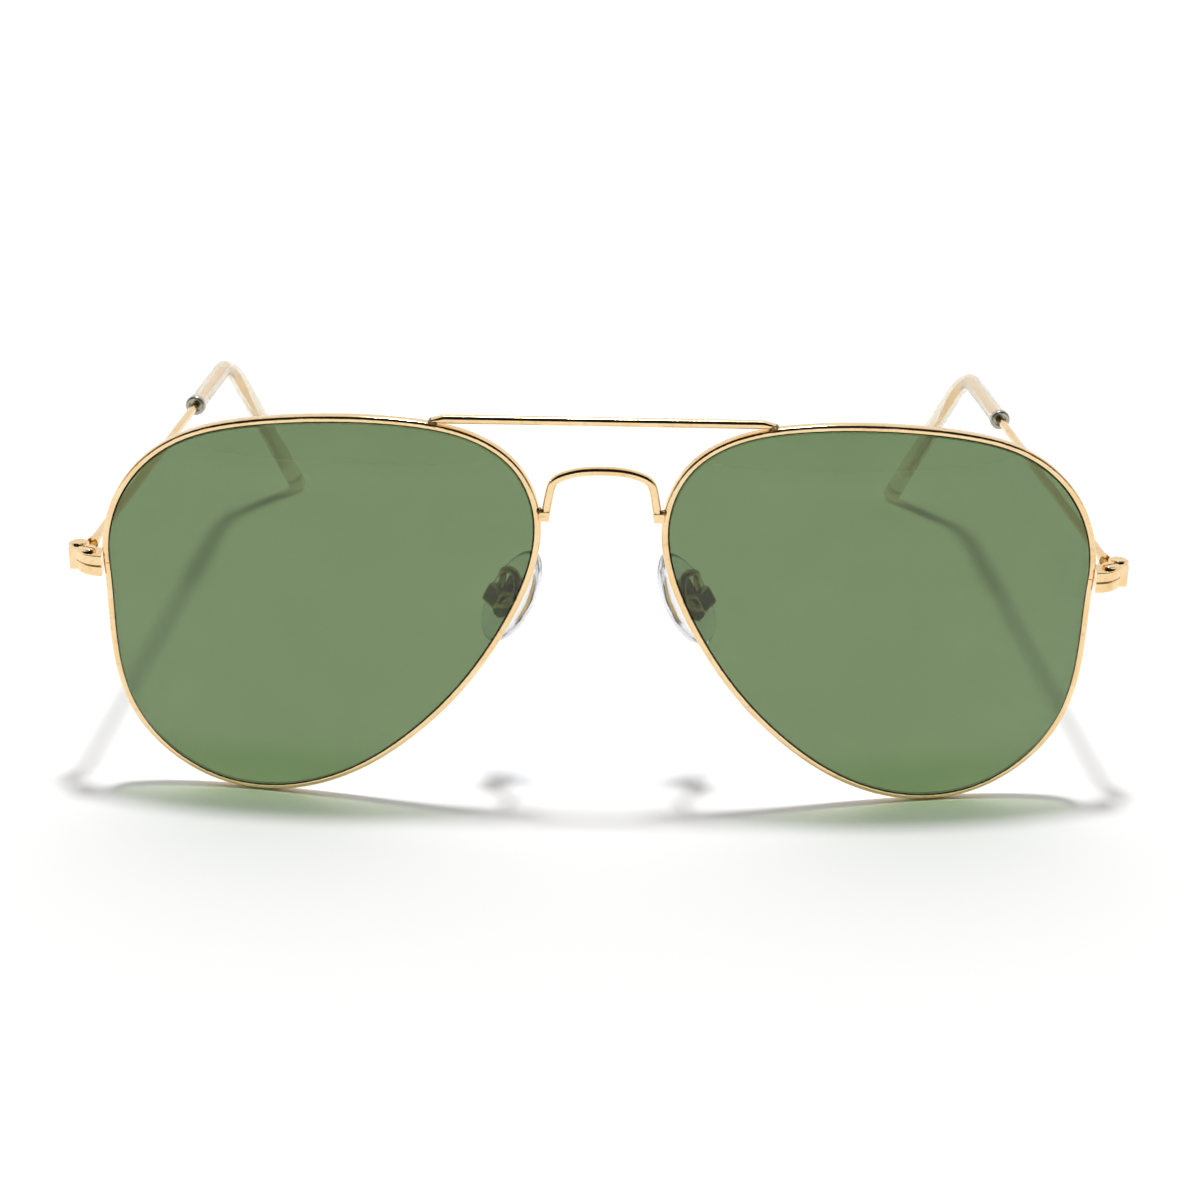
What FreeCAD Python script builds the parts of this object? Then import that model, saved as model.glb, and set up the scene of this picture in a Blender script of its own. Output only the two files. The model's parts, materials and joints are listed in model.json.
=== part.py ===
import FreeCAD, Part
import math
import os
import Sketcher
from FreeCAD import Placement, Rotation, Vector

# Aviator sunglasses, lying open on the rims' bottoms and the tips of the temples.
# +X is the wearer's left, -Y is the way the wearer looks, +Z is up; the origin is
# at the middle of the footprint, on the ground. Only the wearer's left side is
# drawn; the right side is its mirror image in the plane x = 0.

doc = FreeCAD.newDocument("sunglasses")

# Driving dimensions in millimetres and degrees.
SIZES = {
    "front_y": -62.7,        # bridge plane, measured from the middle of the footprint
    "lens_x": 37.35,         # lens centre from the plane of symmetry
    "lens_z": 27.47,         # lens centre above the ground
    "lens_wrap": 3.6,        # turn of each lens about the vertical
    "lens_tilt": 1.0,        # forward lean of the lens's top edge
    "lens_radius": 116.0,    # radius of the spherical lens
    "lens_thick": 1.3,
    "rim_wire": 1.0,         # rim section across the lens plane
    "rim_depth": 1.45,       # rim section along the lens axis
    "rim_corner": 0.42,      # rounding of the section's corners
    "groove_deep": 0.35,
    "groove_wide": 0.5,
    "tongue_play": 0.08,     # from the lens's edge to the bottom of the groove
    "rim_gap": 0.12,         # slit of each rim at its closing blocks
    "fit_gap": 0.04,         # clearance of the lens in its groove and of fitted wires
    "bar_wire": 1.15,
    "bar_half": 21.9,        # half length of the brow bar
    "bar_flat": 1.6,         # length of each flattened end
    "bar_y": 2.2,
    "bar_z": 54.8,
    "bridge_wire": 1.15,
    "bridge_y": 2.1,
    "foot_wide": 1.3,        # square foot of the bridge
    "foot_deep": 1.35,
    "foot_tall": 1.2,
    "foot_x": 7.35,          # bridge leg at its foot
    "foot_z": 41.6,
    "shoulder_x": 6.75,      # where the leg turns into the crown
    "shoulder_z": 47.5,
    "crown_z": 48.3,
    "block_tall": 1.45,      # each closing block
    "block_back": 7.35,      # back face of both blocks, where the hinge starts
    "block_round": 0.16,
    "split_z": 32.95,        # slit between the two closing blocks
    "lock_x": 67.95,
    "lock_y": 6.35,
    "lock_head": 1.0,        # radius
    "lock_shank": 0.5,       # radius
    "lock_tall": 0.35,       # height of the head
    "hinge_x": 70.0,
    "hinge_y": 9.5,
    "knuckle": 1.35,         # radius
    "hinge_top": 34.1,
    "hinge_low": 31.2,
    "leaf_tall": 0.85,       # the temple's knuckle, between the two front ones
    "leaf_gap": 0.09,        # play above and below it
    "pin_shank": 0.55,       # radius of the hinge screw
    "pin_play": 0.04,        # radial play of the temple's knuckle on it
    "pin_head": 0.95,        # radius
    "pin_tall": 0.25,        # height of the head
    "wire": 1.3,             # temple wire
    "root_x": 68.8,
    "root_y": 12.7,
    "root_z": 33.15,
    "corner_x": 66.7,        # where the temple's two straight runs would meet
    "corner_y": 106.6,
    "corner_z": 30.9,
    "end_x": 58.0,
    "end_y": 124.6,
    "end_z": 1.12,
    "bend": 12.0,            # radius of the temple's ear bend
    "sleeve_from": 66.5,     # start of the tip, along the wire from its root
    "sleeve": 1.42,          # radius
    "paddle_wide": 2.1,      # half width of the tip's flattened end
    "paddle_thick": 1.6,     # half thickness
    "core_wide": 1.15,       # half width of the flattened end of the wire
    "core_thick": 0.5,
    "core_short": 7.0,       # how far the wire stops before the tip's end
    "ferrule": 1.62,         # radius
    "ferrule_long": 1.3,
    "pivot_x": 13.75,        # screw of the nose pad
    "pivot_y": 8.8,
    "pivot_z": 27.9,
    "splay": 45.0,           # turn of the pad about the vertical
    "lean": 27.0,            # lean of the pad's top towards the nose
    "box_thick": 2.8,
    "box_wide": 2.7,
    "box_tall": 2.8,
    "box_slot": 1.24,
    "lug": 0.85,             # radius of the pad's lug
    "lug_wide": 1.1,
    "pad_screw": 0.4,        # radius
    "pad_gap": 1.75,         # from the pad's screw to the pad's outer face
    "pad_long": 14.4,
    "pad_wide": 7.4,
    "pad_thick": 2.3,
    "plate_long": 6.6,
    "plate_wide": 2.6,
    "plate_thick": 0.7,
    "plate_cut": 0.8,        # cut corners of the plate
    "arm_wire": 1.0,
}

# Edge of the visible lens, seen along the lens axis: outward and upward from the
# lens centre. It starts at the slit of the rim and runs over the top.
OUTLINE = [
    (27.6, 5.8), (23.9, 17.5), (20.0, 21.3), (5.0, 26.0), (-9.2, 26.4), (-25.4, 20.6),
    (-28.1, 14.8), (-25.3, 1.6), (-9.6, -18.5), (-1.6, -23.8), (15.2, -25.6), (24.6, -18.0),
]

sheet = doc.addObject("Spreadsheet::Sheet", "Sizes")
for row, (alias, value) in enumerate(SIZES.items(), start=1):
    sheet.set(f"A{row}", alias)
    sheet.set(f"B{row}", str(value))
    sheet.setAlias(f"B{row}", alias)
doc.recompute()

parts = []


def size(alias):
    """One cell of the sheet, as a number."""
    return float(sheet.get(alias))


def bind(item, prop, expression):
    """Tie a property to the sheet; cells are written as plain aliases."""
    for alias in sorted(SIZES, key=len, reverse=True):
        expression = expression.replace(f"[{alias}]", f"Sizes.{alias}")
    item.setExpression(prop, expression)


def helper(kind, name, **bound):
    """A construction object whose sizes are expressions of the sheet."""
    item = doc.addObject(kind, name)
    for prop, expression in bound.items():
        bind(item, prop, expression)
    return item


def keep(item, label):
    """Make an object one of the sub-parts, under its own name."""
    item.Label = label
    parts.append(item)
    return item


def shaped(label, shape, place):
    """A sub-part whose shape comes from Part's own functions."""
    item = doc.addObject("Part::Feature", label)
    item.Shape = shape
    item.Placement = place
    return keep(item, label)


def combine(kind, name, base, tool):
    """Cut, Common or Fuse of two objects."""
    item = doc.addObject(kind, name)
    item.Base = base
    item.Tool = tool
    return item


def new_body(label, place):
    """A PartDesign body that is a sub-part."""
    item = doc.addObject("PartDesign::Body", label)
    item.Placement = place
    return keep(item, label)


def new_sketch(body, name, role, offset=Placement()):
    """A sketch on one of the body's origin planes, moved by an offset."""
    item = body.newObject("Sketcher::SketchObject", name)
    plane = [each for each in body.Origin.OriginFeatures if each.Role == role][0]
    item.AttachmentSupport = [(plane, "")]
    item.MapMode = "FlatFace"
    item.AttachmentOffset = offset
    return item


def add_circle(sketch, radius, x=0.0, y=0.0):
    """A circle whose radius is bound to the sheet."""
    index = sketch.addGeometry(Part.Circle(Vector(x, y, 0), Vector(0, 0, 1), 1.0), False)
    row = sketch.addConstraint(Sketcher.Constraint("Radius", index, 1.0))
    bind(sketch, f"Constraints[{row}]", radius)
    return index


def add_polygon(sketch, points):
    """A closed outline of straight edges."""
    count = len(points)
    for here in range(count):
        ends = [Vector(*points[here], 0), Vector(*points[(here + 1) % count], 0)]
        sketch.addGeometry(Part.LineSegment(*ends), False)


def pad(body, sketch, length, midplane=False, reverse=False):
    """Pad a sketch by a bound length."""
    item = body.newObject("PartDesign::Pad", f"{body.Name}_pad")
    item.Profile = sketch
    item.Midplane = midplane
    item.Reversed = reverse
    bind(item, "Length", length)
    return item


def pocket(body, sketch, length, midplane=False, reverse=False):
    """Pocket a sketch by a bound length, checking that it removes something."""
    doc.recompute()
    before = body.Shape.Volume
    item = body.newObject("PartDesign::Pocket", f"{body.Name}_pocket")
    item.Profile = sketch
    item.Midplane = midplane
    item.Reversed = reverse
    bind(item, "Length", length)
    doc.recompute()
    if body.Shape.Volume > before - 1e-4:
        raise RuntimeError(f"{item.Name} cuts nothing")
    return item


def fillet(body, feature, radius, choose):
    """Round the edges of a feature that a test picks."""
    doc.recompute()
    names = []
    for number, edge in enumerate(feature.Shape.Edges, start=1):
        if choose(edge):
            names.append(f"Edge{number}")
    item = body.newObject("PartDesign::Fillet", f"{body.Name}_round")
    item.Base = (feature, names)
    item.Radius = radius
    doc.recompute()
    return item


def tube(points, radius, first_way=None, last_way=None):
    """A round wire along a smooth curve through the points, with its end directions if they matter."""
    curve = Part.BSplineCurve()
    places = [Vector(*each) for each in points]
    if first_way:
        curve.interpolate(Points=places, InitialTangent=first_way, FinalTangent=last_way)
    else:
        curve.interpolate(places)
    path = Part.Wire([curve.toShape()])
    start = curve.value(curve.FirstParameter)
    along = curve.tangent(curve.FirstParameter)[0]
    ring = Part.Wire([Part.makeCircle(radius, start, along)])
    return path.makePipeShell([ring], True, False)


front = Placement(Vector(0, size("front_y"), 0), Rotation())


# ---- lens frame: x outward, y backward along the lens axis, z up ----------------

lens_turn = Rotation(Vector(0, 0, 1), size("lens_wrap")) * Rotation(Vector(1, 0, 0), size("lens_tilt"))
lens_place = front * Placement(Vector(size("lens_x"), 0, size("lens_z")), lens_turn)


def sag(x, z):
    """Depth of the lens sphere behind its front-most point."""
    radius = size("lens_radius")
    return radius - math.sqrt(radius ** 2 - x ** 2 - z ** 2)


def flat_outline():
    """The visible lens edge as a closed smooth curve in the lens plane."""
    curve = Part.BSplineCurve()
    curve.interpolate(Points=[Vector(x, 0, z) for x, z in OUTLINE], PeriodicFlag=True)
    return curve


def outline_at(offset, samples=24):
    """The outline moved outward by an offset, as evenly spaced flat points."""
    curve = flat_outline()
    points = []
    for step in range(samples):
        where = curve.parameterAtDistance(step * curve.length() / samples, curve.FirstParameter)
        along = curve.tangent(where)[0]
        points.append(curve.value(where) + Vector(along.z, 0, -along.x) * offset)
    return points


def closed_curve(points):
    """A smooth closed curve through the points."""
    curve = Part.BSplineCurve()
    curve.interpolate(Points=points, PeriodicFlag=True)
    return curve


def rim_section(origin, radial, axial):
    """Rim wire section: a rounded bar with a groove on the side of the lens."""
    wide = size("rim_wire") / 2
    deep = size("rim_depth") / 2
    corner = size("rim_corner")
    floor = size("groove_wide") / 4
    mouth = size("groove_wide") / 2

    def at(across, along):
        return origin + radial * across + axial * along

    def corner_arc(across, along, start):
        turns = [math.radians(start + each) for each in (0, 45, 90)]
        ends = [at(across + corner * math.cos(a), along + corner * math.sin(a)) for a in turns]
        return Part.Arc(*ends).toShape()

    groove = [
        (-wide, deep - corner), (-wide, mouth), (-wide + size("groove_deep"), floor),
        (-wide + size("groove_deep"), -floor), (-wide, -mouth), (-wide, corner - deep),
    ]
    edges = [
        corner_arc(wide - corner, corner - deep, -90),
        Part.makeLine(at(wide, corner - deep), at(wide, deep - corner)),
        corner_arc(wide - corner, deep - corner, 0),
        Part.makeLine(at(wide - corner, deep), at(corner - wide, deep)),
        corner_arc(corner - wide, deep - corner, 90),
    ]
    for first, second in zip(groove, groove[1:]):
        edges.append(Part.makeLine(at(*first), at(*second)))
    edges.append(corner_arc(corner - wide, corner - deep, 180))
    edges.append(Part.makeLine(at(corner - wide, -deep), at(wide - corner, -deep)))
    return Part.Wire(edges)


def rim_shape():
    """The rim wire, swept along the sphere and slit at the closing blocks."""
    flat = outline_at(size("rim_wire") / 2)
    curve = closed_curve([Vector(each.x, sag(each.x, each.z), each.z) for each in flat])
    length = curve.length()
    first = curve.parameterAtDistance(size("rim_gap") / 2, curve.FirstParameter)
    last = curve.parameterAtDistance(length - size("rim_gap") / 2, curve.FirstParameter)
    path = Part.Wire([curve.toShape(first, last)])
    axial = Vector(0, 1, 0)
    radial = curve.tangent(first)[0].cross(axial)
    radial.normalize()
    if radial.x < 0:
        radial = radial * -1
    sweep = Part.BRepOffsetAPI.MakePipeShell(path)
    sweep.setBiNormalMode(axial)
    sweep.add(rim_section(curve.value(first), radial, axial), False, False)
    sweep.build()
    sweep.makeSolid()
    return sweep.shape()


rim = shaped("left_rim", rim_shape(), lens_place)


PRISM_BACK = 14.0
PRISM_FRONT = 6.0


def lens_layer(name, offset, thick):
    """A disc of the sphere's shell, cut to the outline plus an offset.

    The outline's prism reaches past the shell both ways.
    """
    edge = doc.addObject("Part::Feature", f"{name}_edge")
    edge.Shape = Part.Wire([closed_curve(outline_at(offset)).toShape()])
    prism = doc.addObject("Part::Extrusion", f"{name}_prism")
    prism.Base = edge
    prism.DirMode = "Custom"
    prism.Dir = Vector(0, 1, 0)
    prism.LengthFwd = PRISM_BACK
    prism.LengthRev = PRISM_FRONT
    prism.Solid = True
    outer = helper("Part::Sphere", f"{name}_outer", Radius=f"[lens_radius] + {thick} / 2")
    inner = helper("Part::Sphere", f"{name}_inner", Radius=f"[lens_radius] - {thick} / 2")
    for ball in (outer, inner):
        bind(ball, "Placement.Base.y", "[lens_radius]")
    shell = combine("Part::Cut", f"{name}_shell", outer, inner)
    return combine("Part::Common", f"{name}_layer", prism, shell)


plate = lens_layer("plate", -size("fit_gap"), "[lens_thick]")
tongue = lens_layer("tongue", size("groove_deep") - size("tongue_play"), "([groove_wide] / 2 - 2 * [fit_gap])")
lens = combine("Part::Fuse", "left_lens", plate, tongue)
lens.Placement = lens_place
keep(lens, "left_lens")


# ---- brow bar and bridge, soldered to both rims --------------------------------

def cut_by_rims(shape):
    """Take both rims' own space out of a soldered piece, given in the world."""
    own = rim.Shape.copy()
    return shape.cut(own).cut(own.mirror(Vector(0, 0, 0), Vector(1, 0, 0)))


def largest(shape):
    """The biggest solid of a shape."""
    return max(shape.Solids, key=lambda each: each.Volume)


def bar_shape():
    """A straight round wire with flattened ends that bear on the rims' tops."""
    half = size("bar_half")
    radius = size("bar_wire") / 2
    flat = size("bar_flat")
    base = Vector(flat - half, size("front_y") + size("bar_y"), size("bar_z"))
    wire = Part.makeCylinder(radius, 2 * (half - flat), base, Vector(1, 0, 0))
    for side in (-1, 1):
        inner = Part.Wire([Part.makeCircle(radius, Vector(0, 0, 0), Vector(1, 0, 0))])
        outer = Part.Wire([Part.Ellipse(Vector(0, 0, 0), radius * 1.05, radius * 0.55).toShape()])
        outer.rotate(Vector(0, 0, 0), Vector(1, 0, 0), 90)
        outer.rotate(Vector(0, 0, 0), Vector(0, 0, 1), 90)
        inner.translate(Vector(side * (half - flat), base.y, base.z))
        outer.translate(Vector(side * half, base.y, base.z - radius * 0.3))
        wire = wire.fuse(Part.makeLoft([inner, outer], True))
    return largest(cut_by_rims(wire))


shaped("brow_bar", bar_shape(), Placement())


def bridge_shape():
    """An inverted U of wire between the rims, with square feet on the rims, made as two mirrored halves."""
    y = size("front_y") + size("bridge_y")
    x = size("shoulder_x")
    z = size("shoulder_z")
    half = tube([
        (0.0, y - 0.3, size("crown_z")), (x - 4.1, y - 0.28, size("crown_z") - 0.15), (x - 1.85, y - 0.2, z + 0.05),
        (x - 0.5, y - 0.1, z - 0.85), (x, y - 0.05, z - 2.3), (size("foot_x"), y, size("foot_z")),
    ], size("bridge_wire") / 2, Vector(1, 0, 0), Vector(0.15, 0, -1))
    wide = size("foot_wide")
    deep = size("foot_deep")
    low = Vector(size("foot_x") + 0.1 - wide / 2, y - deep / 2, size("foot_z") - 0.2)
    half = half.fuse(Part.makeBox(wide, deep, size("foot_tall"), low)).cut(rim.Shape)
    half = largest(half)
    return largest(half.fuse(half.mirror(Vector(0, 0, 0), Vector(1, 0, 0))))


shaped("bridge", bridge_shape(), Placement())

# ---- closing blocks and their lock screw ---------------------------------------

def block_plan(sketch):
    """Plan of a closing block: it starts inside the rim's wire and sweeps out and back to the hinge."""
    inner = Vector(65.85, 4.15, 0)
    bow = Vector(68.1, 4.75, 0)
    nose = Vector(69.6, 6.3, 0)
    heel = Vector(69.55, size("block_back"), 0)
    back = Vector(66.2, size("block_back"), 0)
    sketch.addGeometry(Part.Arc(inner, bow, nose), False)
    for ends in ((nose, heel), (heel, back), (back, inner)):
        sketch.addGeometry(Part.LineSegment(*ends), False)


def closing_block(label, low):
    """One half of the closing block, bored for the lock screw, with the rim's space taken out."""
    body = doc.addObject("PartDesign::Body", f"{label}_raw")
    body.Placement = front * Placement(Vector(0, 0, low), Rotation())
    plan = new_sketch(body, f"{label}_plan", "XY_Plane")
    block_plan(plan)
    pad(body, plan, "[block_tall] - [fit_gap]")
    hole = new_sketch(body, f"{label}_hole", "XY_Plane")
    add_circle(hole, "[lock_shank] + [fit_gap]", size("lock_x"), size("lock_y"))
    pocket(body, hole, "[block_tall]", reverse=True)
    fillet(body, body.Tip, size("block_round"), lambda edge: edge.Length > 2.0)
    return keep(combine("Part::Cut", label, body, rim), label)


closing_block("left_closing_block_upper", size("split_z") + size("fit_gap"))
closing_block("left_closing_block_lower", size("split_z") - size("block_tall"))


SLOT_REACH = 1.2     # half length of a screw's slot, as a share of the head's radius
SLOT_HALF = 0.14     # half width


def screw(label, place, head, shank, length, head_tall):
    """A slotted screw: its head sits on top of local z = 0, its shank below."""
    body = new_body(label, place)
    crown = new_sketch(body, f"{label}_head", "XY_Plane")
    add_circle(crown, f"[{head}]")
    pad(body, crown, str(head_tall))
    stem = new_sketch(body, f"{label}_stem", "XY_Plane")
    add_circle(stem, f"[{shank}]")
    pad(body, stem, str(length), reverse=True)
    fillet(body, body.Tip, head_tall / 3,
           lambda edge: edge.BoundBox.ZMin > head_tall / 2 and len(edge.Vertexes) == 1)
    slot = new_sketch(body, f"{label}_slot", "XY_Plane", Placement(Vector(0, 0, head_tall), Rotation()))
    reach = size(head) * SLOT_REACH
    half = size(head) * SLOT_HALF
    add_polygon(slot, [(-reach, -half), (reach, -half), (reach, half), (-reach, half)])
    pocket(body, slot, str(head_tall / 2))
    return body


lock_top = size("split_z") + size("block_tall") + 0.01
lock_place = Placement(Vector(size("lock_x"), size("lock_y"), lock_top), Rotation(Vector(0, 0, 1), 25))
lock_length = 2 * size("block_tall")
screw("left_rim_lock_screw", front * lock_place, "lock_head", "lock_shank", lock_length, size("lock_tall"))


# ---- hinge: two knuckles on the front, one on the temple, a screw through all ---

hinge_place = front * Placement(Vector(size("hinge_x"), size("hinge_y"), size("hinge_low")), Rotation())
hinge_tall = size("hinge_top") - size("hinge_low")
knuckle_tall = (hinge_tall - size("leaf_tall")) / 2 - size("leaf_gap")
web_front = size("block_back") + 0.02 - size("hinge_y")

hinge_front = new_body("left_hinge_front", hinge_place)
web_plan = new_sketch(hinge_front, "web_plan", "XY_Plane")
add_polygon(web_plan, [(-0.75, web_front), (0.9, web_front), (0.9, 0), (-0.75, 0)])
pad(hinge_front, web_plan, "[hinge_top] - [hinge_low]")
round_plan = new_sketch(hinge_front, "round_plan", "XY_Plane")
add_circle(round_plan, "[knuckle]")
pad(hinge_front, round_plan, "[hinge_top] - [hinge_low]")
space_floor = Placement(Vector(0, 0, knuckle_tall), Rotation())
space_plan = new_sketch(hinge_front, "space_plan", "XY_Plane", space_floor)
add_circle(space_plan, "[knuckle] + 0.13")
pocket(hinge_front, space_plan, "[leaf_tall] + 2 * [leaf_gap]", reverse=True)
bore_plan = new_sketch(hinge_front, "bore_plan", "XY_Plane")
add_circle(bore_plan, "[pin_shank] + 0.02")
pocket(hinge_front, bore_plan, "[hinge_top] - [hinge_low]", reverse=True)

pin_place = hinge_place * Placement(Vector(0, 0, hinge_tall + 0.01), Rotation(Vector(0, 0, 1), 70))
screw("left_hinge_screw", pin_place, "pin_head", "pin_shank", hinge_tall + 0.15, size("pin_tall"))

# ---- temple frame: x along the straight wire, bend towards y --------------------

root = Vector(size("root_x"), size("root_y"), size("root_z"))
corner = Vector(size("corner_x"), size("corner_y"), size("corner_z"))
end = Vector(size("end_x"), size("end_y"), size("end_z"))
straight = (corner - root).Length
arm = (end - corner).Length
wire_way = (corner - root).normalize()
arm_way = (end - corner).normalize()
turn = wire_way.getAngle(arm_way)
across_way = wire_way.cross(arm_way).normalize()
temple_turn = Rotation(wire_way, across_way.cross(wire_way), across_way, "XYZ")
temple_place = front * Placement(root, temple_turn)
bend_start = straight - size("bend") * math.tan(turn / 2)
arm_run = arm - size("bend") * math.tan(turn / 2)


def bend_point(angle):
    """A point of the ear bend, by the angle turned so far."""
    reach = size("bend")
    return Vector(bend_start + reach * math.sin(angle), reach * (1 - math.cos(angle)), 0)


def arm_plane(distance):
    """Offset of a sketch plane square to the lower arm, at a distance along it."""
    place = bend_point(turn) + Vector(math.cos(turn), math.sin(turn), 0) * distance
    return Placement(Vector(place.y, 0, place.x), Rotation(Vector(0, 1, 0), math.degrees(turn)))


def add_ellipse(sketch, wide, thick):
    """An ellipse about the sketch's origin, wide along its x axis."""
    sketch.addGeometry(Part.Ellipse(Vector(wide, 0, 0), Vector(0, thick, 0), Vector(0, 0, 0)), False)


def bent_rod(body, name, start, radius, ends, cutting=False):
    """A rod that runs straight, turns the ear bend and then changes its section.

    Each entry of ends is a distance along the lower arm with the section's half
    width and half thickness there.
    """
    sort = "Subtractive" if cutting else "Additive"
    spine = new_sketch(body, f"{name}_spine", "XY_Plane")
    spine.addGeometry(Part.LineSegment(Vector(start, 0, 0), bend_point(0)), False)
    spine.addGeometry(Part.Arc(bend_point(0), bend_point(turn / 2), bend_point(turn)), False)
    ring = new_sketch(body, f"{name}_ring", "YZ_Plane", Placement(Vector(0, 0, start), Rotation()))
    add_circle(ring, radius)
    doc.recompute()
    pipe = body.newObject(f"PartDesign::{sort}Pipe", f"{name}_pipe")
    pipe.Profile = ring
    pipe.Spine = (spine, ["Edge1", "Edge2"])
    doc.recompute()
    first = new_sketch(body, f"{name}_first", "YZ_Plane", arm_plane(0))
    add_circle(first, radius)
    sections = []
    for number, (distance, wide, thick) in enumerate(ends):
        section = new_sketch(body, f"{name}_section_{number}", "YZ_Plane", arm_plane(distance))
        add_ellipse(section, wide, thick)
        sections.append(section)
    doc.recompute()
    loft = body.newObject(f"PartDesign::{sort}Loft", f"{name}_loft")
    loft.Profile = first
    loft.Sections = sections
    doc.recompute()
    return loft


core_run = arm_run - size("core_short")
wire_body = new_body("left_temple_wire", temple_place)
core_ends = [(9.0, size("core_wide"), size("core_thick")), (core_run, size("core_wide"), size("core_thick"))]
bent_rod(wire_body, "wire", 0.0, "[wire] / 2", core_ends)

tip_body = new_body("left_temple_tip", temple_place)
paddle = (size("paddle_wide"), size("paddle_thick"))
tip_ends = [(12.0, (size("sleeve") + paddle[0]) / 2, (size("sleeve") + paddle[1]) / 2), (arm_run, *paddle)]
bent_rod(tip_body, "sleeve", size("sleeve_from"), "[sleeve]", tip_ends)
cap = tip_body.newObject("PartDesign::AdditiveEllipsoid", "tip_end")
cap_centre = bend_point(turn) + Vector(math.cos(turn), math.sin(turn), 0) * arm_run
cap.Placement = Placement(cap_centre, Rotation(Vector(0, 0, 1), math.degrees(turn)))
bind(cap, "Radius1", "[paddle_thick]")
bind(cap, "Radius2", "[paddle_wide]")
bind(cap, "Radius3", "[paddle_wide]")
doc.recompute()
whole_tip = tip_body.Shape.Volume
gap = size("fit_gap")
bore_ends = [(9.0, size("core_wide") + gap, size("core_thick") + gap),
             (core_run + gap, size("core_wide") + gap, size("core_thick") + gap)]
bent_rod(tip_body, "bore", size("sleeve_from") - 0.5, "[wire] / 2 + [fit_gap]", bore_ends, cutting=True)
if tip_body.Shape.Volume > whole_tip - 1:
    raise RuntimeError("the temple tip has no bore")

ferrule = new_body("left_tip_ferrule", temple_place)
ferrule_from = size("sleeve_from") - size("ferrule_long") - 0.02
ring_plan = new_sketch(ferrule, "ring_plan", "YZ_Plane", Placement(Vector(0, 0, ferrule_from), Rotation()))
add_circle(ring_plan, "[ferrule]")
pad(ferrule, ring_plan, "[ferrule_long]")
fillet(ferrule, ferrule.Tip, 0.4, lambda edge: len(edge.Vertexes) == 1)
seat_plan = new_sketch(ferrule, "seat_plan", "YZ_Plane", Placement(Vector(0, 0, ferrule_from), Rotation()))
add_circle(seat_plan, "[wire] / 2 + [fit_gap]")
pocket(ferrule, seat_plan, "[ferrule_long]", reverse=True)
mouth_plan = new_sketch(ferrule, "mouth_plan", "YZ_Plane", Placement(Vector(0, 0, ferrule_from), Rotation()))
add_circle(mouth_plan, "[wire] / 2 + 0.35")
pocket(ferrule, mouth_plan, "[ferrule_long] / 2", reverse=True)

leaf_place = hinge_place * Placement(Vector(0, 0, knuckle_tall + size("leaf_gap")), Rotation())
leaf = new_body("left_temple_hinge_leaf", leaf_place)
knuckle_plan = new_sketch(leaf, "knuckle_plan", "XY_Plane")
add_circle(knuckle_plan, "[knuckle]")
pad(leaf, knuckle_plan, "[leaf_tall]")
to_root = Vector(size("root_x") - size("hinge_x"), size("root_y") - size("hinge_y"), 0)
arm_plan = new_sketch(leaf, "arm_plan", "XY_Plane")
leaf_end = to_root.y - 0.1
leaf_half = 0.6
add_polygon(arm_plan, [
    (-0.9, 0.25), (0.0, 0.9), (to_root.x + leaf_half, leaf_end), (to_root.x - leaf_half, leaf_end),
])
pad(leaf, arm_plan, "[leaf_tall]")
leaf_bore = new_sketch(leaf, "leaf_bore", "XY_Plane")
add_circle(leaf_bore, "[pin_shank] + [pin_play]")
pocket(leaf, leaf_bore, "[leaf_tall]", reverse=True)
socket_base = leaf_place.inverse() * temple_place
socket = leaf.newObject("PartDesign::AdditiveCylinder", "socket")
socket.Placement = socket_base * Placement(Vector(-1.0, 0, 0), Rotation(Vector(0, 1, 0), 90))
bind(socket, "Radius", "[wire] / 2 + 0.15")
socket.Height = 0.98

# ---- nose pads: x away from the nose, y along the screw, z up the pad -----------

pad_turn = Rotation(Vector(0, 1, 0), -size("lean")) * Rotation(Vector(0, 0, 1), -size("splay"))
pad_place = front * Placement(Vector(size("pivot_x"), size("pivot_y"), size("pivot_z")), pad_turn)

box = new_body("left_pad_box", pad_place)
box_plan = new_sketch(box, "box_plan", "XY_Plane")
half_wide = size("box_wide") / 2
face_in = 0.15 - size("box_thick") / 2
face_out = face_in + size("box_thick")
add_polygon(box_plan, [
    (face_in, -half_wide), (face_out, -half_wide), (face_out, half_wide), (face_in, half_wide),
])
pad(box, box_plan, "[box_tall]", midplane=True)
fillet(box, box.Tip, 0.45, lambda edge: edge.CenterOfMass.x > face_in + 0.1)
slot_plan = new_sketch(box, "box_slot_plan", "XY_Plane")
half_slot = size("box_slot") / 2
slot_floor = size("lug") + 0.15
slot_mouth = -size("box_thick")
add_polygon(slot_plan, [
    (slot_mouth, -half_slot), (slot_floor, -half_slot), (slot_floor, half_slot), (slot_mouth, half_slot),
])
pocket(box, slot_plan, "[box_tall] * 2", midplane=True)
box_bore = new_sketch(box, "box_bore", "XZ_Plane")
add_circle(box_bore, "[pad_screw] + 0.02")
pocket(box, box_bore, "[box_wide] * 2", midplane=True)

pad_screw_place = pad_place * Placement(Vector(0, -half_wide - 0.01, 0), Rotation(Vector(1, 0, 0), 90))
screw("left_pad_screw", pad_screw_place, "lug", "pad_screw", size("box_wide"), size("lock_tall"))

core = new_body("left_pad_core", pad_place)
lug_plan = new_sketch(core, "lug_plan", "XZ_Plane")
add_circle(lug_plan, "[lug]")
pad(core, lug_plan, "[lug_wide]", midplane=True)
neck_plan = new_sketch(core, "neck_plan", "XZ_Plane")
neck = size("pad_gap") + 0.1
add_polygon(neck_plan, [(-neck, -size("lug")), (0, -size("lug")), (0, size("lug")), (-neck, size("lug"))])
pad(core, neck_plan, "[lug_wide]", midplane=True)
plate_plan = new_sketch(core, "plate_plan", "YZ_Plane", Placement(Vector(0, 0, -size("pad_gap")), Rotation()))


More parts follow.
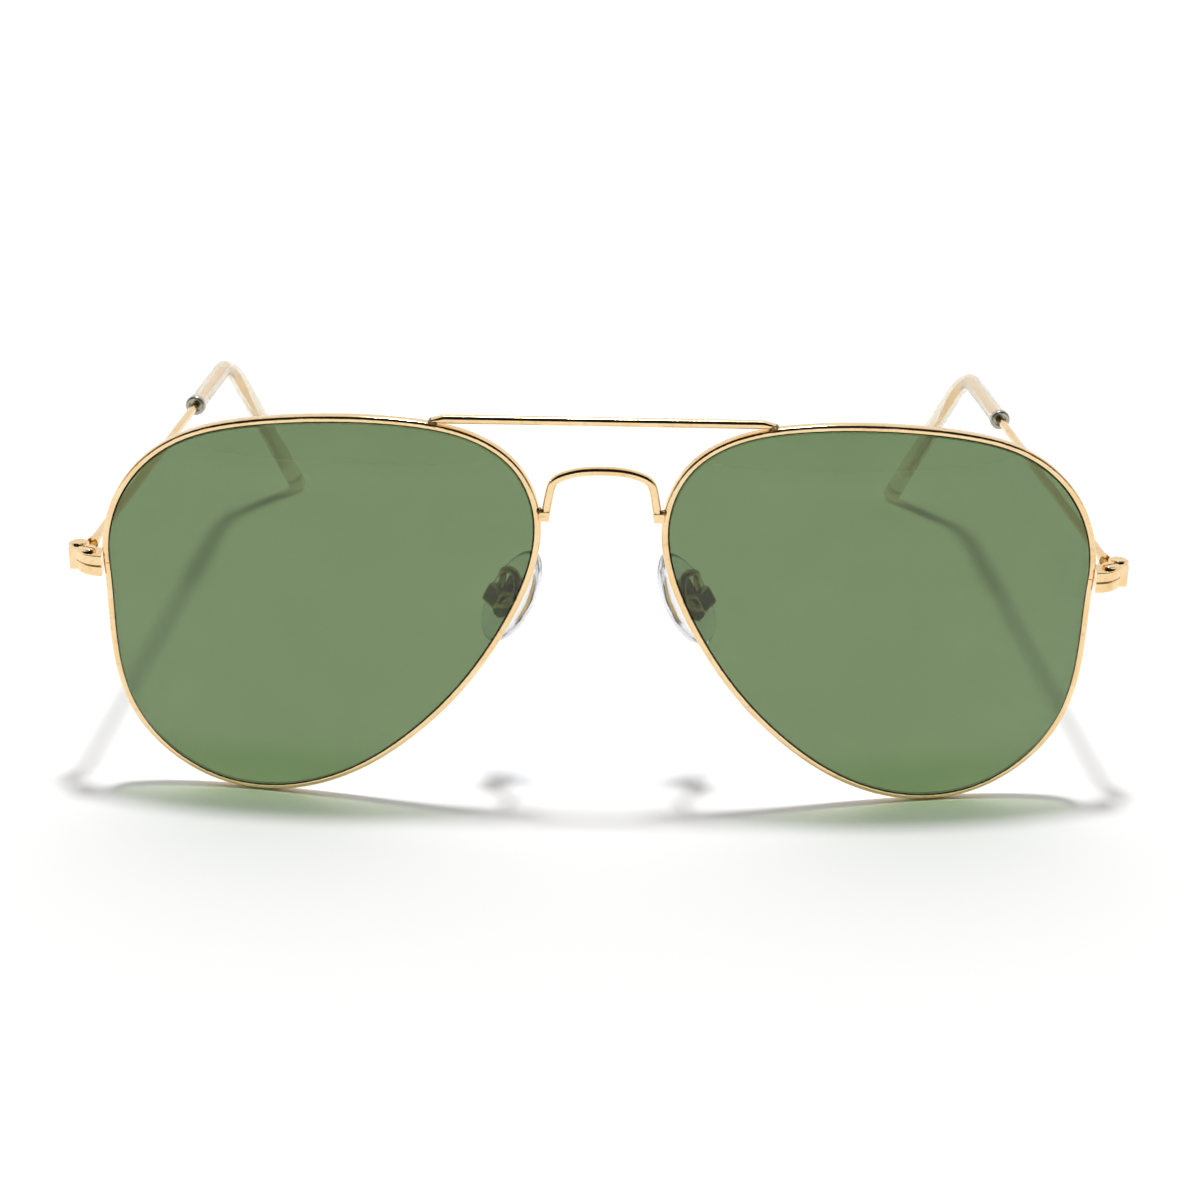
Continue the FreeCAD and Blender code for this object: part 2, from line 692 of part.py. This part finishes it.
def plate_outline(grow):
    """A plate with cut corners, about the pad's centre."""
    wide = size("plate_wide") / 2 + grow
    tall = size("plate_long") / 2 + grow
    cut = size("plate_cut")
    return [(-wide, cut - tall), (cut - wide, -tall), (wide - cut, -tall), (wide, cut - tall),
            (wide, tall - cut), (wide - cut, tall), (cut - wide, tall), (-wide, tall - cut)]


add_polygon(plate_plan, plate_outline(0))
pad(core, plate_plan, "[plate_thick]", reverse=True)
core_bore = new_sketch(core, "core_bore", "XZ_Plane")
add_circle(core_bore, "[pad_screw] + 0.05")
pocket(core, core_bore, "[lug_wide] * 2", midplane=True)

nose_pad = new_body("left_nose_pad", pad_place)
pad_plan = new_sketch(nose_pad, "pad_plan", "YZ_Plane", Placement(Vector(0, 0, -size("pad_gap")), Rotation()))
pad_long_end = Vector(0, size("pad_long") / 2, 0)
pad_wide_end = Vector(size("pad_wide") / 2, 0, 0)
pad_plan.addGeometry(Part.Ellipse(pad_long_end, pad_wide_end, Vector(0, 0, 0)), False)
pad(nose_pad, pad_plan, "[pad_thick]", reverse=True)
fillet(nose_pad, nose_pad.Tip, 0.95, lambda edge: len(edge.Vertexes) == 1)
seat = new_sketch(nose_pad, "seat", "YZ_Plane", Placement(Vector(0, 0, -size("pad_gap")), Rotation()))
add_polygon(seat, plate_outline(size("fit_gap")))
pocket(nose_pad, seat, "[plate_thick] + [fit_gap]")


def arm_shape():
    """The pad's arm: a loop of wire from the rim's back to the top of the box."""
    top_of_box = Vector(0.75, 0, size("box_tall") / 2 - 0.3)
    landing = pad_place.multVec(top_of_box)
    above = pad_place.multVec(top_of_box + Vector(0.1, 0, 1.2))
    y = size("front_y")
    on_rim = (11.95, y + 2.0, 28.6)
    back = (11.6, y + 3.5, 29.0)
    rise = (11.05, y + 4.8, 31.0)
    top = [(11.5, y + 5.6, 32.7), (12.7, y + 6.6, 32.6)]
    loop = tube([on_rim, back, rise, *top, tuple(above), tuple(landing)], size("arm_wire") / 2)
    doc.recompute()
    return largest(cut_by_rims(loop).cut(box.Shape))


shaped("left_pad_arm", arm_shape(), Placement())

# ---- the wearer's right side ----------------------------------------------------

doc.recompute()
for item in list(parts):
    if item.Label.startswith("left_"):
        twin = doc.addObject("Part::Mirroring", item.Label.replace("left_", "right_"))
        twin.Source = item
        twin.Normal = Vector(1, 0, 0)
        keep(twin, item.Label.replace("left_", "right_"))
doc.recompute()

# ---- check and write -------------------------------------------------------------

for item in doc.Objects:
    if "Invalid" in item.State or "Error" in item.State:
        raise RuntimeError(f"{item.Name} is {item.State}")
for item in parts:
    if item.Shape.isNull() or not item.Shape.isValid():
        raise RuntimeError(f"{item.Label} has no valid shape")
    if len(item.Shape.Solids) != 1:
        raise RuntimeError(f"{item.Label} has {len(item.Shape.Solids)} solids")

os.makedirs("parts", exist_ok=True)
for item in parts:
    item.Shape.exportStep(f"parts/{item.Label}.step")
    print(item.Label, round(item.Shape.Volume, 2), "mm3")
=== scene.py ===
import json
import math

import bmesh
import bpy
from mathutils import Matrix, Vector, noise


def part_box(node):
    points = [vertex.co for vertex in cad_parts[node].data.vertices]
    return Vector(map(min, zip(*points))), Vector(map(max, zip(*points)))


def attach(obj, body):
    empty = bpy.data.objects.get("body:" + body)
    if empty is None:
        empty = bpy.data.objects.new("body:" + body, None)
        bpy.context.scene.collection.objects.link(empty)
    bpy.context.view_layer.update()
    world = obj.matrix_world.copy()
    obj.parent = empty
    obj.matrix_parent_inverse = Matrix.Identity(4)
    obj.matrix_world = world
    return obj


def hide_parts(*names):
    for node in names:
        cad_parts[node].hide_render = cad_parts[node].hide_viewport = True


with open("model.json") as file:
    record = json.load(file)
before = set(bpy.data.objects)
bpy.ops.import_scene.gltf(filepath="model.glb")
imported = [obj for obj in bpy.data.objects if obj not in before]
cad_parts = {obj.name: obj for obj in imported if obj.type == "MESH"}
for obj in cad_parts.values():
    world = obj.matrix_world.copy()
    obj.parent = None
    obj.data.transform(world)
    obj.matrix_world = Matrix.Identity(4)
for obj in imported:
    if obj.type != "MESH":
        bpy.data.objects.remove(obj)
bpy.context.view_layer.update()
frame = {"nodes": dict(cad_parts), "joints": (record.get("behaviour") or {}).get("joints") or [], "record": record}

MM = 0.001
SIDES = {"left": 1, "right": -1}
BLACK, WHITE = (0, 0, 0), (1, 1, 1)


# ---- materials -------------------------------------------------------------------

class Tree:
    """A node tree, with short calls for the nodes that are used more than once."""

    def __init__(self, tree):
        self.tree = tree

    def add(self, kind, **values):
        node = self.tree.nodes.new(kind)
        for key, value in values.items():
            setattr(node, key, value)
        return node

    def link(self, source, target):
        self.tree.links.new(source, target)

    def math(self, kind, first, second):
        """kind of first and second, each a number or a socket."""
        node = self.add("ShaderNodeMath", operation=kind)
        for socket, value in zip(node.inputs, (first, second)):
            if isinstance(value, float):
                socket.default_value = value
            else:
                self.link(value, socket)
        return node.outputs["Value"]

    def ramp(self, source, stops):
        """source turned into colours; stops are (position, colour)."""
        node = self.add("ShaderNodeValToRGB")
        points = node.color_ramp.elements
        while len(points) < len(stops):
            points.new(0.5)
        for point, (position, colour) in zip(points, stops):
            point.position = position
            point.color = (*colour, 1)
        self.link(source, node.inputs["Fac"])
        return node.outputs["Color"]

    def spread(self, source, low, high, start=0.3, end=0.7):
        """source from start..end turned into low..high."""
        node = self.add("ShaderNodeMapRange")
        for key, value in zip(("From Min", "From Max", "To Min", "To Max"), (start, end, low, high)):
            node.inputs[key].default_value = value
        self.link(source, node.inputs["Value"])
        return node.outputs["Result"]


class Nodes(Tree):
    """A new material, with its shader and the calls that only a material needs."""

    def __init__(self, name):
        self.material = bpy.data.materials.new(name)
        self.material.use_nodes = True
        super().__init__(self.material.node_tree)
        self.shader = self.tree.nodes["Principled BSDF"]
        self.out = self.tree.nodes["Material Output"]
        self.place = self.add("ShaderNodeTexCoord").outputs["Object"]

    def set(self, **values):
        """Constants on the shader's own sockets; an underscore stands for a space."""
        for key, value in values.items():
            self.shader.inputs[key.replace("_", " ")].default_value = value

    def noise(self, grain, detail=3.0, stretch=(1, 1, 1), rough=0.5):
        """Noise whose features are about grain metres across, drawn out by stretch."""
        move = self.add("ShaderNodeMapping")
        move.inputs["Scale"].default_value = stretch
        self.link(self.place, move.inputs["Vector"])
        node = self.add("ShaderNodeTexNoise")
        node.inputs["Scale"].default_value = 1 / grain
        node.inputs["Detail"].default_value = detail
        node.inputs["Roughness"].default_value = rough
        self.link(move.outputs["Vector"], node.inputs["Vector"])
        return node.outputs["Fac"]

    def over(self, share, under, colour):
        """colour laid over another by share."""
        node = self.add("ShaderNodeMix", data_type="RGBA")
        self.link(share, node.inputs["Factor"])
        self.link(under, node.inputs["A"])
        node.inputs["B"].default_value = (*colour, 1)
        return node.outputs["Result"]

    def bump(self, *layers):
        """Bump from (source, depth in metres) pairs, one on top of the other."""
        below = None
        for source, depth in layers:
            node = self.add("ShaderNodeBump")
            node.inputs["Distance"].default_value = depth
            self.link(source, node.inputs["Height"])
            if below:
                self.link(below, node.inputs["Normal"])
            below = node.outputs["Normal"]
        self.link(below, self.shader.inputs["Normal"])


# Sizes of the marks on plated metal, and the depths of those that are felt.
PLATE_CLOUD, PLATE_SPOT, PLATE_DULL, PLATE_WAVE, DRAW_MARK = (
    4.0 * MM, 0.9 * MM, 0.7 * MM, 1.6 * MM, 0.12 * MM)
PLATE_WAVE_DEPTH, DRAW_MARK_DEPTH = 0.03 * MM, 0.004 * MM
SPOT_START, SPOT_FULL = 0.56, 0.74
# Pointiness at which the inner corners get their full share of painted shade, where it ends, and that share.
CORNER_SHADE_FULL, CORNER_SHADE_END, CORNER_SHADE_SHARE = 0.44, 0.49, 0.55

# The same for clear glass and plastic.
TINT_CLOUD, CLEAR_WAVE, SCUFF = 9.0 * MM, 3.0 * MM, 0.5 * MM
SCUFF_START, SCUFF_FULL, SCUFF_DEPTH_SHARE = 0.5, 0.8, 0.05


def metal(name, pale, deep, tarnish_and_shade, smooth, rough, wear):
    """Plated wire: cloudy colour, dark tarnished patches at random, painted shade in the inner corners, fine
    drawing marks.
    """
    m = Nodes(name)
    m.set(Metallic=1.0)
    cloud = m.noise(PLATE_CLOUD, 4)
    colour = m.ramp(cloud, [(0.3, deep), (0.7, pale)])
    spots = m.spread(m.noise(PLATE_SPOT, 5, rough=0.65), 0.0, wear, SPOT_START, SPOT_FULL)
    colour = m.over(spots, colour, tarnish_and_shade)
    # Painted shade: the inner corners are darkened with the same dark colour as the tarnished patches.
    pointed = m.add("ShaderNodeNewGeometry").outputs["Pointiness"]
    corner_shade = m.spread(pointed, CORNER_SHADE_SHARE, 0.0, CORNER_SHADE_FULL, CORNER_SHADE_END)
    colour = m.over(corner_shade, colour, tarnish_and_shade)
    m.link(colour, m.shader.inputs["Base Color"])
    m.link(m.spread(m.noise(PLATE_DULL, 5), smooth, rough), m.shader.inputs["Roughness"])
    marks = m.noise(DRAW_MARK, 3, (1, 0.25, 1))
    m.bump((m.noise(PLATE_WAVE, 2), PLATE_WAVE_DEPTH), (marks, DRAW_MARK_DEPTH))
    return m.material


def clear(name, tints, smooth, rough, ior, shade, wave_depth, transmission=1.0):
    """Clear glass or plastic: a cloudy tint, soft waves and fine scuffs.

    Lamp light goes straight through it and comes out coloured by shade.
    """
    m = Nodes(name)
    m.set(IOR=ior, Transmission_Weight=transmission)
    tint = m.ramp(m.noise(TINT_CLOUD, 3), [(0.3, tints[0]), (0.7, tints[1])])
    m.link(tint, m.shader.inputs["Base Color"])
    scuffs = m.noise(SCUFF, 6, (1, 1, 0.3), 0.7)
    m.link(m.spread(scuffs, smooth, rough, SCUFF_START, SCUFF_FULL), m.shader.inputs["Roughness"])
    m.bump((m.noise(CLEAR_WAVE, 2), wave_depth), (scuffs, wave_depth * SCUFF_DEPTH_SHARE))
    lamp = m.add("ShaderNodeBsdfTransparent")
    lamp.inputs["Color"].default_value = (*shade, 1)
    mix = m.add("ShaderNodeMixShader")
    m.link(m.add("ShaderNodeLightPath").outputs["Is Shadow Ray"], mix.inputs["Fac"])
    m.link(m.shader.outputs["BSDF"], mix.inputs[1])
    m.link(lamp.outputs["BSDF"], mix.inputs[2])
    m.link(mix.outputs["Shader"], m.out.inputs["Surface"])
    return m.material


# Each metal's dark colour below is both its tarnished patches and the painted shade in its inner corners.
GOLD = metal("gold_plate", pale=(0.96, 0.74, 0.44), deep=(0.90, 0.63, 0.32), tarnish_and_shade=(0.42, 0.22, 0.08),
             smooth=0.05, rough=0.17, wear=0.4)
DARK_GOLD = metal("dull_gold_plate", pale=(0.60, 0.45, 0.20), deep=(0.37, 0.26, 0.10),
                  tarnish_and_shade=(0.10, 0.065, 0.03), smooth=0.08, rough=0.24, wear=0.8)
GUNMETAL = metal("satin_gunmetal", pale=(0.50, 0.48, 0.40), deep=(0.36, 0.34, 0.28),
                 tarnish_and_shade=(0.16, 0.14, 0.10), smooth=0.16, rough=0.34, wear=0.7)
SOLDER = metal("solder_joint", pale=(0.30, 0.20, 0.09), deep=(0.14, 0.085, 0.04),
               tarnish_and_shade=(0.035, 0.02, 0.012), smooth=0.18, rough=0.40, wear=1.0)
LENS = clear("green_lens", tints=((0.138, 0.210, 0.092), (0.146, 0.221, 0.098)), smooth=0.0, rough=0.03,
             ior=1.5, shade=(0.50, 0.58, 0.45), wave_depth=0.002 * MM)
PAD = clear("clear_silicone", tints=((0.85, 0.86, 0.90), (0.91, 0.92, 0.95)), smooth=0.08, rough=0.24,
            ior=1.43, shade=(0.82, 0.83, 0.86), wave_depth=0.05 * MM)
TIP = clear("champagne_acetate", tints=((0.96, 0.89, 0.73), (0.98, 0.93, 0.81)), smooth=0.10, rough=0.16,
            ior=1.49, shade=(0.62, 0.55, 0.44), wave_depth=0.03 * MM, transmission=0.84)

FINISH = {"gold": GOLD, "dark_gold": DARK_GOLD, "gunmetal": GUNMETAL, "lens_green": LENS,
          "clear_pad": PAD, "champagne_tip": TIP}
SLOT_OF = {part["node"]: part["material_slot"] for part in frame["record"]["subparts"]}

for node, thing in frame["nodes"].items():
    thing.data.materials.clear()
    thing.data.materials.append(FINISH[SLOT_OF[node]])


# ---- nose pads -------------------------------------------------------------------

PAD_LEAN = math.radians(27)
PAD_GAP, PAD_THICK, PAD_WIDE, PAD_LONG = 1.75 * MM, 2.3 * MM, 7.4 * MM, 14.4 * MM
EDGE_FULLNESS, FACE_FULLNESS = 0.42, 0.9   # powers; the smaller, the squarer the section
DISH_DEPTH, DISH_REACH = 0.5 * MM, 0.62    # the hollow towards the pad's screw
NOSE_CROWN = 0.35 * MM                     # how far the face at the nose is crowned
NARROWING = 0.07                           # share by which the top is narrower than the middle
RINGS, SPOKES = 26, 72
JOINT_OF = {joint["child"]: joint for joint in frame["joints"]}


def pad_mesh(side):
    """A crowned oval around the pad's plate: x through it, y across it, z up it."""
    sign = SIDES[side]
    joint = JOINT_OF[f"pad_{side}"]
    pivot = Vector(joint["pos_m"])
    across = Vector(joint["axis"]).normalized()
    up = Vector((-sign * math.sin(PAD_LEAN), 0, math.cos(PAD_LEAN)))
    through = across.cross(up) * sign
    middle = -(PAD_GAP + PAD_THICK / 2)
    rows = []
    for ring in range(RINGS + 1):
        turn = math.pi * (ring / RINGS - 0.5)
        reach = abs(math.cos(turn)) ** EDGE_FULLNESS
        depth = math.copysign(abs(math.sin(turn)) ** FACE_FULLNESS, turn) * PAD_THICK / 2
        if turn > 0:
            depth -= DISH_DEPTH * math.exp(-((reach / DISH_REACH) ** 4))
        else:
            depth -= NOSE_CROWN * (1 - reach ** 2)
        row = []
        for spoke in range(SPOKES):
            angle = 2 * math.pi * spoke / SPOKES
            narrow = 1 - NARROWING * math.sin(angle)
            point = (through * (middle + depth)
                     + across * (reach * narrow * math.cos(angle) * PAD_WIDE / 2)
                     + up * (reach * math.sin(angle) * PAD_LONG / 2))
            row.append(pivot + point)
        rows.append(row)
    mesh = bmesh.new()
    ends = [mesh.verts.new(sum(rows[i], Vector()) / SPOKES) for i in (0, RINGS)]
    loops = [[mesh.verts.new(point) for point in row] for row in rows[1:-1]]
    for below, above in zip(loops, loops[1:]):
        for i in range(SPOKES):
            j = (i + 1) % SPOKES
            mesh.faces.new((below[i], below[j], above[j], above[i]))
    for end, loop in zip(ends, (loops[0], loops[-1])):
        for i in range(SPOKES):
            mesh.faces.new((end, loop[(i + 1) % SPOKES], loop[i]))
    bmesh.ops.recalc_face_normals(mesh, faces=mesh.faces)
    return mesh


def show(name, mesh, material, body):
    """A finished mesh as a smooth, shown piece on a body."""
    data = bpy.data.meshes.new(name)
    mesh.to_mesh(data)
    mesh.free()
    data.shade_smooth()
    data.materials.append(material)
    piece = bpy.data.objects.new(name, data)
    bpy.context.scene.collection.objects.link(piece)
    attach(piece, body)
    return piece


for side in SIDES:
    pad = show(f"{side}_moulded_pad", pad_mesh(side), PAD, f"pad_{side}")
    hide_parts(f"{side}_nose_pad")


# ---- solder at the wires' joints ---------------------------------------------------

# Half sizes of the fillets, and how far each sits in from the wire's end and up from its lowest point.
BAR_FILLET, BAR_INSET, BAR_RISE = (0.70 * MM, 0.66 * MM, 0.42 * MM), 0.35 * MM, 0.30 * MM
BRIDGE_FILLET, BRIDGE_INSET, BRIDGE_RISE = (0.34 * MM, 0.60 * MM, 0.42 * MM), 0.05 * MM, 1.25 * MM
BAR_SEED, BRIDGE_SEED = 3, 9
SWELL, SWELL_GRAIN = 0.22, 1.7


def solder(name, centre, reach, seed):
    """A small uneven fillet of solder about a point, reach metres each way."""
    mesh = bmesh.new()
    bmesh.ops.create_icosphere(mesh, subdivisions=4, radius=1.0)
    for vert in mesh.verts:
        swell = 1 + SWELL * noise.fractal(vert.co * SWELL_GRAIN + Vector((seed, 0, 0)), 1.0, 2.0, 3)
        vert.co = Vector(centre) + Vector([a * b * swell for a, b in zip(vert.co, reach)])
    show(name, mesh, SOLDER, "front")


bar_low, bar_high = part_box("brow_bar")
bridge_low, bridge_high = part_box("bridge")
bar_middle = (bar_low.y + bar_high.y) / 2
bridge_middle = (bridge_low.y + bridge_high.y) / 2
for side, sign in SIDES.items():
    end = (sign * (bar_high.x - BAR_INSET), bar_middle, bar_low.z + BAR_RISE)
    solder(f"{side}_bar_solder", end, BAR_FILLET, BAR_SEED + sign)
    foot = (sign * (bridge_high.x - BRIDGE_INSET), bridge_middle, bridge_low.z + BRIDGE_RISE)
    solder(f"{side}_bridge_solder", foot, BRIDGE_FILLET, BRIDGE_SEED + sign)


# ---- floor, light and camera -----------------------------------------------------

FLOOR_REACH, FLOOR_DROP = 40.0, 0.00005
PAPER_CLOUD = 0.4
GLOW_START, GLOW_END, GLOW = 0.2, 0.9, 0.5   # the sheet is lit from below further out, so that it stays white

floor_mesh = bmesh.new()
bmesh.ops.create_grid(floor_mesh, x_segments=4, y_segments=4, size=FLOOR_REACH)
floor_data = bpy.data.meshes.new("floor")
floor_mesh.to_mesh(floor_data)
floor_mesh.free()
floor = bpy.data.objects.new("floor", floor_data)
floor.location.z = -FLOOR_DROP
bpy.context.scene.collection.objects.link(floor)
paper = Nodes("pale_paper")
paper.set(Roughness=0.9, Specular_IOR_Level=0.0)
paper_tints = [(0.2, (0.94, 0.94, 0.935)), (0.8, (0.95, 0.95, 0.95))]
paper_colour = paper.ramp(paper.noise(PAPER_CLOUD, 2), paper_tints)
paper.link(paper_colour, paper.shader.inputs["Base Color"])
distance = paper.add("ShaderNodeVectorMath", operation="LENGTH")
paper.link(paper.place, distance.inputs[0])
glow = paper.spread(distance.outputs["Value"], 0.0, GLOW, GLOW_START, GLOW_END)
paper.link(glow, paper.shader.inputs["Emission Strength"])
floor_data.materials.append(paper.material)

# A bright tent all round, but for the dark room above and behind the camera. Seen directly, it is white.
TENT, DARK_ROOM = 0.90, 0.012
ROOM_EDGE = [(0.82, BLACK), (0.97, WHITE)]      # along y + 1
HORIZON_EDGE = [(0.06, WHITE), (0.17, BLACK)]   # along z

world = bpy.data.worlds.new("studio")
bpy.context.scene.world = world
world.use_nodes = True
sky = Tree(world.node_tree)
heading = sky.add("ShaderNodeSeparateXYZ")
sky.link(sky.add("ShaderNodeTexCoord").outputs["Generated"], heading.inputs["Vector"])
beyond = sky.ramp(sky.math("ADD", heading.outputs["Y"], 1.0), ROOM_EDGE)
low = sky.ramp(heading.outputs["Z"], HORIZON_EDGE)
level = sky.math("MAXIMUM", sky.math("MAXIMUM", beyond, low), DARK_ROOM)
background = world.node_tree.nodes["Background"]
background.inputs["Color"].default_value = (*WHITE, 1)
seen = sky.add("ShaderNodeLightPath").outputs["Is Camera Ray"]
strength = sky.math("MAXIMUM", sky.math("MULTIPLY", level, TENT), seen)
sky.link(strength, background.inputs["Strength"])

LAMP_WIDE, LAMP_POWER, LAMP_PLACE = 0.09, 3.9, (0, 0.01, 0.78)
lamp_data = bpy.data.lights.new("softbox", "AREA")
lamp_data.shape = "DISK"
lamp_data.size = LAMP_WIDE
lamp_data.energy = LAMP_POWER
lamp = bpy.data.objects.new("softbox", lamp_data)
lamp.location = LAMP_PLACE
bpy.context.scene.collection.objects.link(lamp)

YAW, PITCH, ROLL = map(math.radians, (0.655, 23.27, 1.222))
CAMERA_PLACE = Vector((-2.69, -298.25, 132.41)) * MM
PICTURE, FOCAL_IN_PICTURE, SENSOR = 1200, 1960.4, 36.0
ahead = Vector((math.sin(YAW) * math.cos(PITCH), math.cos(YAW) * math.cos(PITCH), -math.sin(PITCH)))
level_right = Vector((math.cos(YAW), -math.sin(YAW), 0))
level_above = level_right.cross(ahead)
right = level_right * math.cos(ROLL) + level_above * math.sin(ROLL)
above = level_above * math.cos(ROLL) - level_right * math.sin(ROLL)
turn = Matrix((right, above, -ahead)).transposed().to_4x4()
camera_data = bpy.data.cameras.new("camera")
camera_data.sensor_width = SENSOR
camera_data.lens = SENSOR * FOCAL_IN_PICTURE / PICTURE
camera = bpy.data.objects.new("camera", camera_data)
camera.matrix_world = Matrix.Translation(CAMERA_PLACE) @ turn
bpy.context.scene.collection.objects.link(camera)
bpy.context.scene.camera = camera
bpy.context.scene.view_settings.view_transform = "Standard"
